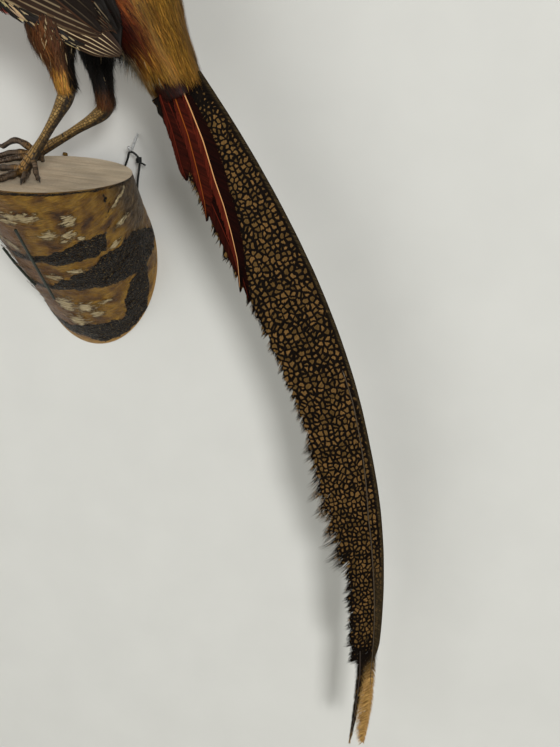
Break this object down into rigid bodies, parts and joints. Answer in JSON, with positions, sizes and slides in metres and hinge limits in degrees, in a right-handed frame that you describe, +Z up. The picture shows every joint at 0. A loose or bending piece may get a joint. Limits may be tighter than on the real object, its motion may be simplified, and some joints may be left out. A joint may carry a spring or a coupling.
{
  "type": "mounted golden pheasant on a wall log",
  "caption": "Life-size museum model of a mounted golden pheasant cock standing on a short log that hangs on a wall, with its long barred tail hanging below.",
  "frame": {"origin": "middle of the log's back cut, on the wall's surface", "axes": "+X to the right along the wall, +Y into the wall, +Z up; the bird faces -X and its tail hangs down on the +X side"},
  "size_m": [0.4908, 0.2032, 0.9348],
  "materials": {
    "log_wood": "glossy banded bark, weathered sawn end grain on top",
    "hook_steel": "bright drawn steel",
    "black_wire": "black annealed wire",
    "plumage_gold": "silky golden hair-like feathers",
    "plumage_scarlet": "scarlet body feathers",
    "plumage_tan": "short rusty tan face feathers",
    "plumage_cape": "orange square-ended feathers barred with blue-black",
    "plumage_wing": "dark brown flight feathers edged with buff, deep blue and chestnut above",
    "plumage_thigh": "loose brown and black thigh feathers",
    "plumage_tail": "tan oval spots in a near-black net",
    "plumage_tail_side": "buff feathers with dark bars",
    "plumage_red": "narrow crimson coverts with straw shafts",
    "leg_scales": "dried yellow-tan scaled skin",
    "toe_scales": "dried dark brown scaled skin",
    "claw_horn": "dark smooth horn",
    "bill_horn": "smooth horn yellow",
    "eye_glass": "polished glass eye with a pale yellow iris"
  },
  "bodies": {
    "root": {"perch_log": "log_wood", "wall_hook": "hook_steel", "hanger_wire": "black_wire", "tie_wire_front": "black_wire", "tie_wire_side": "black_wire", "rump": "plumage_gold", "trunk": "plumage_scarlet", "neck": "plumage_scarlet", "head": "plumage_tan", "cape": "plumage_cape", "crest": "plumage_gold", "bill_upper": "bill_horn", "bill_lower": "bill_horn", "eye_left": "eye_glass", "wing_left": "plumage_wing", "thigh_left": "plumage_thigh", "tarsus_left": "leg_scales", "toe_left_inner": "toe_scales", "claw_left_inner": "claw_horn", "toe_left_middle": "toe_scales", "claw_left_middle": "claw_horn", "toe_left_outer": "toe_scales", "claw_left_outer": "claw_horn", "toe_left_hind": "toe_scales", "claw_left_hind": "claw_horn", "tail_left": "plumage_tail", "tail_side_left": "plumage_tail_side", "tail_covert_left_1": "plumage_red", "tail_covert_left_2": "plumage_red", "tail_covert_left_3": "plumage_red", "eye_right": "eye_glass", "wing_right": "plumage_wing", "thigh_right": "plumage_thigh", "tarsus_right": "leg_scales", "toe_right_inner": "toe_scales", "claw_right_inner": "claw_horn", "toe_right_middle": "toe_scales", "claw_right_middle": "claw_horn", "toe_right_outer": "toe_scales", "claw_right_outer": "claw_horn", "toe_right_hind": "toe_scales", "claw_right_hind": "claw_horn", "tail_right": "plumage_tail", "tail_side_right": "plumage_tail_side", "tail_covert_right_1": "plumage_red", "tail_covert_right_2": "plumage_red", "tail_covert_right_3": "plumage_red"}
  },
  "joints": []
}
